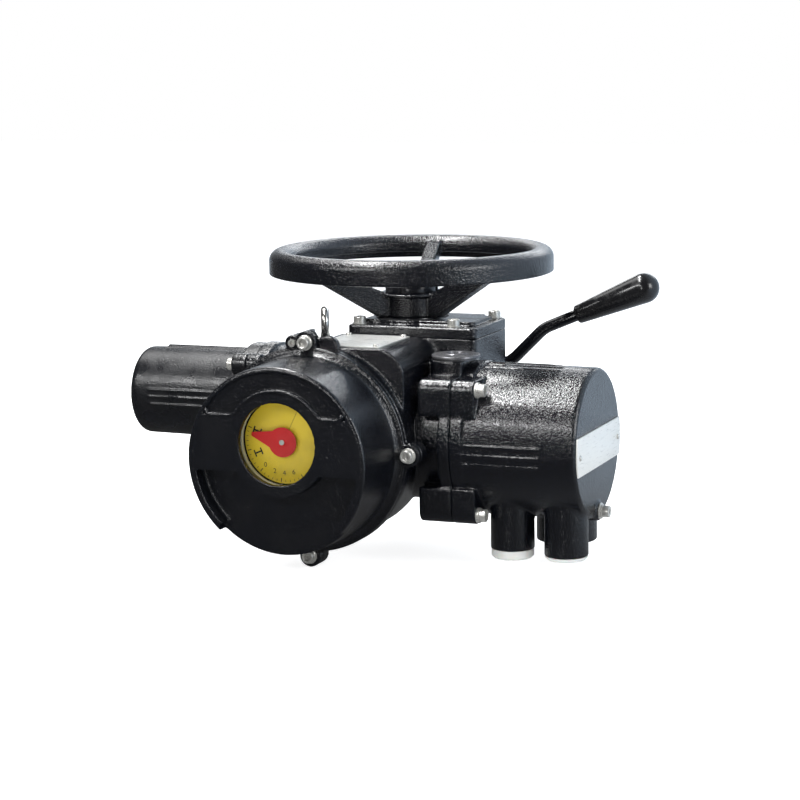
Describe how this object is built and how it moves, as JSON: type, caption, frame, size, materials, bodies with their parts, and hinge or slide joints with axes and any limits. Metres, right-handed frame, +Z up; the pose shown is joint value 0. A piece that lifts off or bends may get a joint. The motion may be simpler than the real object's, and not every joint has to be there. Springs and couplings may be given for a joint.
{
  "type": "multi-turn electric actuator",
  "caption": "Multi-turn electric valve actuator: motor, worm gear, output drive, handwheel with clutch lever, position dial, terminal cover and lifting eye.",
  "frame": {"origin": "centre of the valve flange's mating face, on the output axis", "axes": "+Z up the valve stem towards the handwheel, +X towards the terminal cover, -Y towards the position dial"},
  "size_m": [0.5434, 0.3975, 0.3107],
  "materials": {
    "black_paint": "gloss stove enamel on cast aluminium",
    "black_steel": "black oxide steel",
    "zinc_steel": "bright zinc plated",
    "machined_steel": "machined steel",
    "bronze": "machined bronze",
    "copper": "varnished copper windings",
    "blank_plate": "brushed aluminium sheet",
    "grey_casting": "cast aluminium",
    "rubber": "nitrile rubber",
    "white_plastic": "moulded polyethylene",
    "black_plastic": "moulded phenolic",
    "grey_plastic": "moulded nylon",
    "green_board": "lacquered circuit board",
    "yellow_dial": "printed aluminium dial",
    "red_pointer": "red enamel",
    "window_glass": "toughened glass"
  },
  "bodies": {
    "root": {"main_housing": "black_paint", "top_plate": "black_paint", "mounting_base": "black_paint", "motor_housing": "black_paint", "control_cover": "black_paint", "terminal_cover": "black_paint", "oil_plug": "black_steel", "base_screws": "zinc_steel", "top_plate_screws": "zinc_steel", "motor_screws": "zinc_steel", "cover_screws": "zinc_steel", "cover_jack_screw": "zinc_steel", "backplate_screws": "zinc_steel", "terminal_screws": "zinc_steel", "terminal_washers": "zinc_steel", "lifting_eyebolt": "zinc_steel", "earth_screw": "zinc_steel", "worm_bearings": "machined_steel", "motor_stator": "machined_steel", "motor_bearing": "machined_steel", "window_ring": "machined_steel", "control_backplate": "machined_steel", "lower_bush": "bronze", "top_bush": "bronze", "lever_bush": "bronze", "terminal_studs": "bronze", "stator_windings": "copper", "body_plate": "blank_plate", "terminal_plate": "blank_plate", "base_seal": "rubber", "hand_seal": "rubber", "joint_seals": "rubber", "cable_entry_plugs": "white_plastic", "limit_switch_unit": "black_plastic", "torque_switch_unit": "black_plastic", "terminal_board": "grey_plastic", "indicator_unit": "grey_casting", "control_board": "green_board", "indicator_dial": "yellow_dial", "window_glass": "window_glass"},
    "handwheel": {"handwheel": "black_paint", "hand_sleeve": "machined_steel", "hand_bush": "bronze", "hub_key": "machined_steel", "hub_nut": "zinc_steel", "stem_cap": "black_paint"},
    "drive": {"drive_sleeve": "machined_steel", "clutch_keys": "machined_steel", "stem_bush": "bronze"},
    "wheel": {"worm_wheel": "bronze"},
    "worm": {"worm_shaft": "machined_steel", "motor_rotor": "machined_steel", "torque_springs": "machined_steel"},
    "clutch": {"clutch_ring": "machined_steel"},
    "lever": {"lever_rod": "black_steel", "lever_grip": "black_plastic", "lever_shaft": "machined_steel", "clutch_fork": "machined_steel"},
    "pointer": {"pointer": "red_pointer", "pointer_spindle": "machined_steel"}
  },
  "joints": [
    {"name": "worm_spin", "type": "hinge", "parent": "root", "child": "worm", "pos_m": [0, -0.05, 0.098], "axis": [1, 0, 0], "continuous": true},
    {"name": "wheel_spin", "type": "hinge", "parent": "root", "child": "wheel", "pos_m": [0, 0, 0.098], "axis": [0, 0, 1], "continuous": true},
    {"name": "drive_spin", "type": "hinge", "parent": "root", "child": "drive", "pos_m": [0, 0, 0.098], "axis": [0, 0, 1], "continuous": true},
    {"name": "clutch_slide", "type": "slide", "parent": "drive", "child": "clutch", "axis": [0, 0, 1], "range_m": [0, 0.0105]},
    {"name": "handwheel_spin", "type": "hinge", "parent": "root", "child": "handwheel", "pos_m": [0, 0, 0.2], "axis": [0, 0, 1], "continuous": true},
    {"name": "lever_pull", "type": "hinge", "parent": "root", "child": "lever", "pos_m": [0.052, 0.06, 0.118], "axis": [0, 1, 0], "range_deg": [0, 12], "stiffness_Nm_per_rad": 6, "springref_deg": -22.92},
    {"name": "pointer_spin", "type": "hinge", "parent": "root", "child": "pointer", "pos_m": [-0.0475, -0.231, 0.083], "axis": [0, -1, 0], "continuous": true}
  ],
  "couplings": [
    {"joint": "wheel_spin", "follows": "worm_spin", "ratio": -0.027778},
    {"joint": "drive_spin", "follows": "worm_spin", "ratio": -0.027778},
    {"joint": "pointer_spin", "follows": "worm_spin", "ratio": -0.0011574},
    {"joint": "clutch_slide", "follows": "lever_pull", "m_per_rad": 0.0501}
  ]
}
